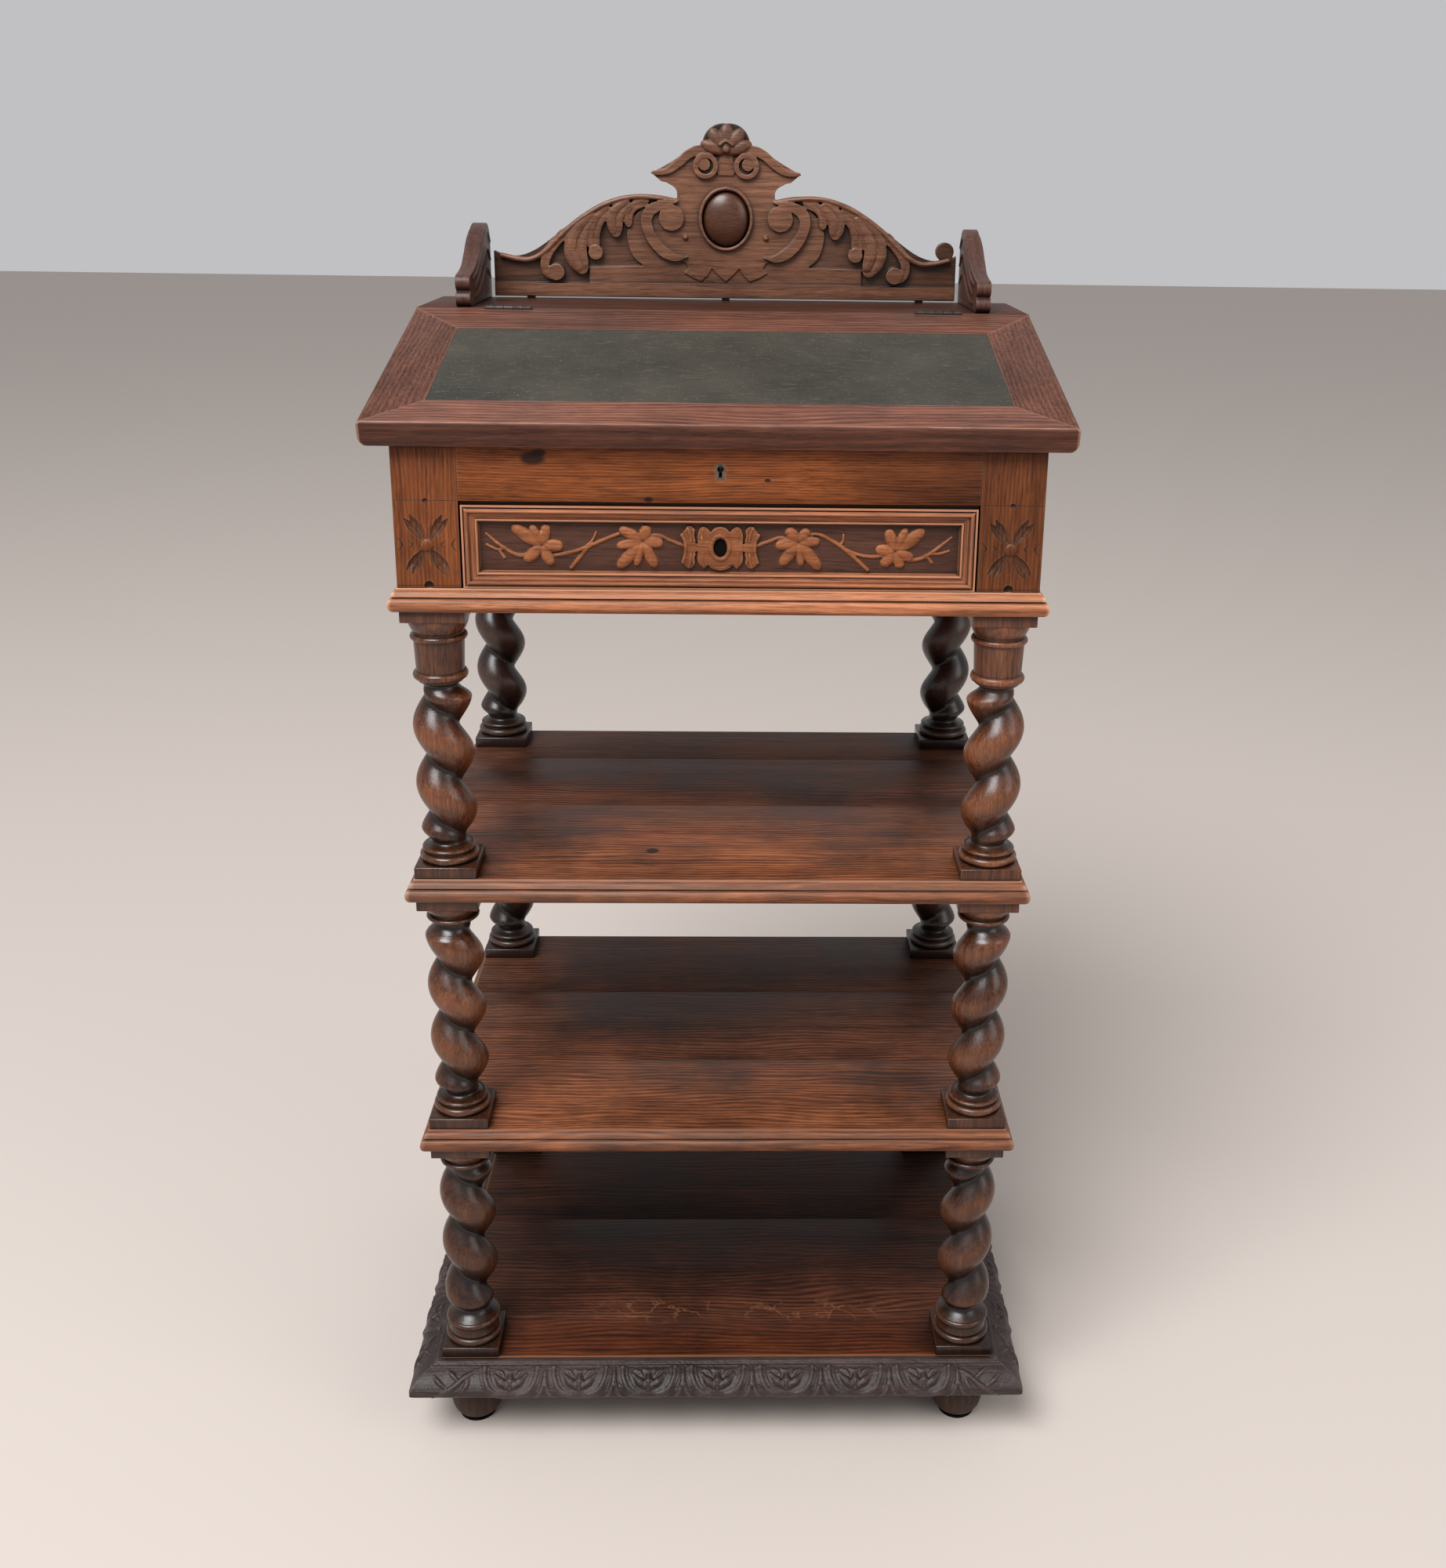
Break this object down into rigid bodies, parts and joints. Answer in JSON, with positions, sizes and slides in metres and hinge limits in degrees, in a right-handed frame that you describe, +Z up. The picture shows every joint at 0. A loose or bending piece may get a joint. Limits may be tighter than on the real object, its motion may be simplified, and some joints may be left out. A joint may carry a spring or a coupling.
{
  "type": "standing desk",
  "caption": "Clerk's standing desk: sloping hinged lid with leather over a well and a drawer, carved gallery, barley-twist columns, open shelves and bun feet.",
  "frame": {"origin": "on the floor under the middle of the base's footprint", "axes": "+Z up, front towards -Y, +X to the viewer's right"},
  "size_m": [0.676, 0.4786, 1.4108],
  "materials": {
    "skirt_oak": "waxed and worn",
    "foot_oak": "waxed and worn",
    "shelf_oak": "waxed and worn",
    "case_oak": "waxed and worn",
    "inner_oak": "waxed and worn",
    "lid_oak": "waxed and worn",
    "gallery_oak": "waxed and worn",
    "column_oak": "waxed, dark in the hollows",
    "leather": "worn, matt",
    "iron": "aged, dull",
    "steel": "aged",
    "pad": "matt"
  },
  "bodies": {
    "desk": {"skirt_front": "skirt_oak", "skirt_left": "skirt_oak", "skirt_right": "skirt_oak", "foot_front_left": "foot_oak", "foot_front_right": "foot_oak", "foot_rear_left": "foot_oak", "foot_rear_right": "foot_oak", "base_board": "shelf_oak", "lower_shelf": "shelf_oak", "upper_shelf": "shelf_oak", "case_floor": "shelf_oak", "stile_left": "case_oak", "stile_right": "case_oak", "front_rail": "case_oak", "side_left": "case_oak", "side_right": "case_oak", "guide_left": "inner_oak", "guide_right": "inner_oak", "case_back": "inner_oak", "well_floor": "inner_oak", "top_strip": "lid_oak", "gallery_board": "gallery_oak", "gallery_pegs": "gallery_oak", "bracket_left": "gallery_oak", "bracket_right": "gallery_oak", "column_lower_front_left": "column_oak", "column_lower_front_right": "column_oak", "column_lower_rear_left": "column_oak", "column_lower_rear_right": "column_oak", "column_middle_front_left": "column_oak", "column_middle_front_right": "column_oak", "column_middle_rear_left": "column_oak", "column_middle_rear_right": "column_oak", "column_upper_front_left": "column_oak", "column_upper_front_right": "column_oak", "column_upper_rear_left": "column_oak", "column_upper_rear_right": "column_oak", "hinge_fixed_leaves": "iron", "hinge_pins": "iron", "lid_lock": "iron", "lid_escutcheon": "steel", "foot_pads": "pad"},
    "lid": {"lid_rail_back": "lid_oak", "lid_rail_front": "lid_oak", "lid_stile_left": "lid_oak", "lid_stile_right": "lid_oak", "lid_panel": "lid_oak", "lid_leather": "leather", "hinge_lid_leaves": "iron", "lid_staple": "iron"},
    "drawer": {"drawer_front": "case_oak", "drawer_moulding": "case_oak", "drawer_side_left": "inner_oak", "drawer_side_right": "inner_oak", "drawer_back": "inner_oak", "drawer_bottom": "inner_oak", "drawer_lock": "iron"},
    "lid_bolt": {"lid_bolt": "iron"},
    "drawer_bolt": {"drawer_bolt": "iron"}
  },
  "joints": [
    {"name": "lid_hinge", "type": "hinge", "parent": "desk", "child": "lid", "pos_m": [0, 0.07825, 1.215], "axis": [-1, 0, 0], "range_deg": [0, 112]},
    {"name": "drawer_slide", "type": "slide", "parent": "desk", "child": "drawer", "axis": [0, -1, 0], "range_m": [0, 0.28]},
    {"name": "lid_bolt_slide", "type": "slide", "parent": "desk", "child": "lid_bolt", "axis": [1, 0, 0], "range_m": [0, 0.012]},
    {"name": "drawer_bolt_slide", "type": "slide", "parent": "drawer", "child": "drawer_bolt", "axis": [0, 0, 1], "range_m": [0, 0.007]}
  ]
}
